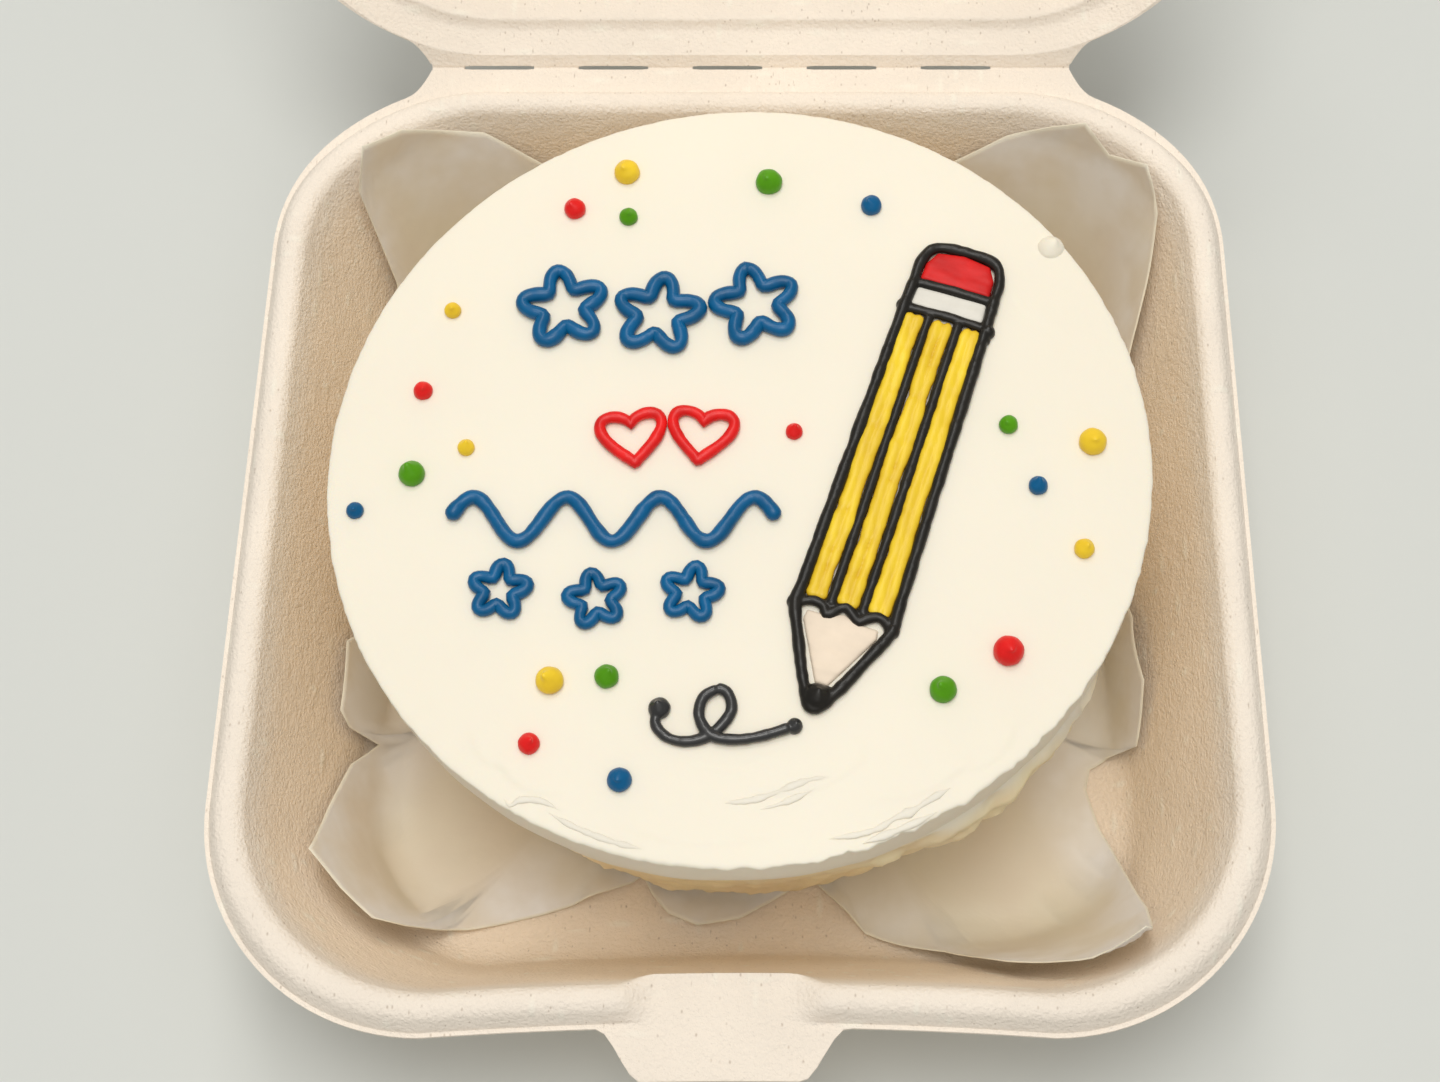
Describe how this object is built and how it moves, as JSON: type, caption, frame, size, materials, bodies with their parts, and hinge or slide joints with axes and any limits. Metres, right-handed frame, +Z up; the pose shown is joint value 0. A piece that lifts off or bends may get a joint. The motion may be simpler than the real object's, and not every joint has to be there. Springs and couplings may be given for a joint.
{
  "type": "bento cake",
  "caption": "Small round iced cake standing on greaseproof paper in a square moulded-pulp box whose hinged lid stands open.",
  "frame": {"origin": "middle of the flat underside of the box base", "axes": "+Z up, +Y towards the hinge and the raised lid, +X to the right seen from the front tab"},
  "size_m": [0.1532, 0.2604, 0.179],
  "materials": {
    "pulp": "moulded plant fibre, matt, with small flecks",
    "greaseproof": "thin greaseproof paper, slightly see-through, soft sheen",
    "frosting": null,
    "black_icing": null,
    "yellow_icing": null,
    "pale_icing": null,
    "white_icing": null,
    "red_icing": null,
    "blue_icing": null
  },
  "bodies": {
    "base": {"box_base": "pulp", "paper_liner": "greaseproof", "cake": "frosting", "pencil_outline": "black_icing", "pencil_wood": "pale_icing", "pencil_ferrule": "white_icing", "pencil_eraser": "red_icing", "squiggle": "black_icing", "pencil_stripe_1": "yellow_icing", "pencil_stripe_2": "yellow_icing", "pencil_stripe_3": "yellow_icing", "star_1": "blue_icing", "star_2": "blue_icing", "star_3": "blue_icing", "star_4": "blue_icing", "star_5": "blue_icing", "star_6": "blue_icing", "heart_1": "red_icing", "heart_2": "red_icing", "wave": "blue_icing"},
    "lid": {"box_lid": "pulp"}
  },
  "joints": [
    {"name": "lid_hinge", "type": "hinge", "parent": "base", "child": "lid", "pos_m": [0, 0.0802, 0.03405], "axis": [1, 0, 0], "range_deg": [-61.5, 118.5]}
  ]
}
